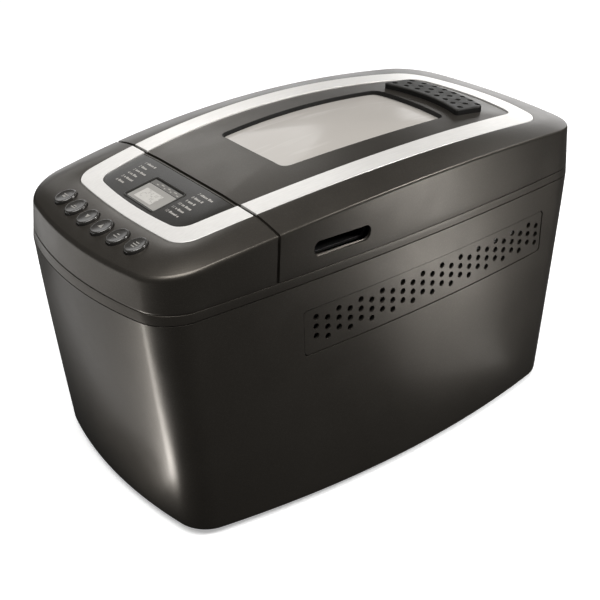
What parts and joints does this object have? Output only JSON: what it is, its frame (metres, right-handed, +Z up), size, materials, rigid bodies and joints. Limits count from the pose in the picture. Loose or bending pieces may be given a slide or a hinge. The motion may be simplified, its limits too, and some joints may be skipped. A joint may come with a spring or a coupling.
{
  "type": "bread machine",
  "caption": "Countertop bread machine with a hinged domed lid, an end control panel, a vented housing and a belt-driven kneading paddle in a lift-out pan.",
  "frame": {"origin": "middle of the footprint on the surface the feet stand on", "axes": "+X along the length from the control panel to the steam grille, +Y towards the hinge side, +Z up; the finger recess and the front vent panel face -Y"},
  "size_m": [0.41, 0.2276, 0.2375],
  "materials": {
    "housing": "satin pearl graphite",
    "trim": "satin silver",
    "gloss": "gloss",
    "button": "satin",
    "glass": "clear",
    "display": "satin",
    "black_plastic": "matte",
    "steel": "brushed",
    "nonstick": "matte coating",
    "rubber": "matte",
    "board": "satin",
    "brass": "satin"
  },
  "bodies": {
    "housing": {"lower_housing": "housing", "vent_panel_front": "housing", "vent_panel_rear": "housing", "upper_housing": "housing", "panel_trim": "trim", "panel_fascia": "gloss", "display_lens": "glass", "display_module": "display", "base_plate": "black_plastic", "heating_element": "black_plastic", "run_capacitor": "black_plastic", "base_screw_1": "steel", "base_screw_2": "steel", "base_screw_3": "steel", "base_screw_4": "steel", "hinge_pin_1": "steel", "hinge_pin_2": "steel", "baking_chamber": "steel", "heater_support_1": "steel", "heater_support_2": "steel", "temperature_probe": "steel", "heat_shield": "steel", "bearing_bracket": "steel", "motor": "steel", "motor_bracket": "steel", "foot_1": "rubber", "foot_2": "rubber", "foot_3": "rubber", "foot_4": "rubber", "cord_gland": "rubber", "drive_belt": "rubber", "control_board": "board", "power_board": "board"},
    "lid": {"lid_cover": "housing", "lid_trim": "trim", "lid_window": "glass", "lid_grille": "black_plastic", "finger_cup": "black_plastic", "lid_liner": "steel", "liner_window": "glass"},
    "pan": {"bread_pan": "nonstick", "pan_base_ring": "steel", "pan_bush": "brass", "pan_ear_1": "steel", "pan_ear_2": "steel"},
    "bail": {"pan_handle": "steel"},
    "paddle": {"kneading_paddle": "nonstick", "pan_shaft": "steel", "pan_coupling": "steel"},
    "drive": {"drive_shaft": "steel", "drive_pulley": "black_plastic", "drive_coupling": "steel"},
    "rotor": {"motor_shaft": "steel", "motor_pulley": "black_plastic"},
    "button_1": {"button_1": "button"},
    "button_2": {"button_2": "button"},
    "button_3": {"button_3": "button"},
    "button_4": {"button_4": "button"},
    "button_5": {"button_5": "button"},
    "button_6": {"button_6": "button"}
  },
  "joints": [
    {"name": "lid_hinge", "type": "hinge", "parent": "housing", "child": "lid", "pos_m": [0.0125, 0.0935, 0.195], "axis": [-1, 0, 0], "range_deg": [0, 80]},
    {"name": "drive_spin", "type": "hinge", "parent": "housing", "child": "drive", "pos_m": [0.04, 0, 0.03], "axis": [0, 0, 1], "continuous": true},
    {"name": "motor_spin", "type": "hinge", "parent": "housing", "child": "rotor", "pos_m": [-0.138, 0, 0.03], "axis": [0, 0, 1], "continuous": true},
    {"name": "pan_lift", "type": "slide", "parent": "housing", "child": "pan", "axis": [0, 0, 1], "range_m": [0, 0.018]},
    {"name": "bail_swing", "type": "hinge", "parent": "pan", "child": "bail", "pos_m": [0.04, 0, 0.174], "axis": [-1, 0, 0], "range_deg": [0, 14]},
    {"name": "paddle_spin", "type": "hinge", "parent": "pan", "child": "paddle", "pos_m": [0.04, 0, 0.09], "axis": [0, 0, 1], "continuous": true},
    {"name": "button_1_press", "type": "slide", "parent": "housing", "child": "button_1", "axis": [0.2425, 0, -0.9701], "range_m": [0, 0.0012], "stiffness_N_per_m": 300},
    {"name": "button_2_press", "type": "slide", "parent": "housing", "child": "button_2", "axis": [0.2425, 0, -0.9701], "range_m": [0, 0.0012], "stiffness_N_per_m": 300},
    {"name": "button_3_press", "type": "slide", "parent": "housing", "child": "button_3", "axis": [0.2425, 0, -0.9701], "range_m": [0, 0.0012], "stiffness_N_per_m": 300},
    {"name": "button_4_press", "type": "slide", "parent": "housing", "child": "button_4", "axis": [0.2425, 0, -0.9701], "range_m": [0, 0.0012], "stiffness_N_per_m": 300},
    {"name": "button_5_press", "type": "slide", "parent": "housing", "child": "button_5", "axis": [0.2425, 0, -0.9701], "range_m": [0, 0.0012], "stiffness_N_per_m": 300},
    {"name": "button_6_press", "type": "slide", "parent": "housing", "child": "button_6", "axis": [0.2425, 0, -0.9701], "range_m": [0, 0.0012], "stiffness_N_per_m": 300}
  ],
  "couplings": [
    {"joint": "motor_spin", "follows": "drive_spin", "ratio": 5},
    {"joint": "paddle_spin", "follows": "drive_spin", "ratio": 1}
  ]
}
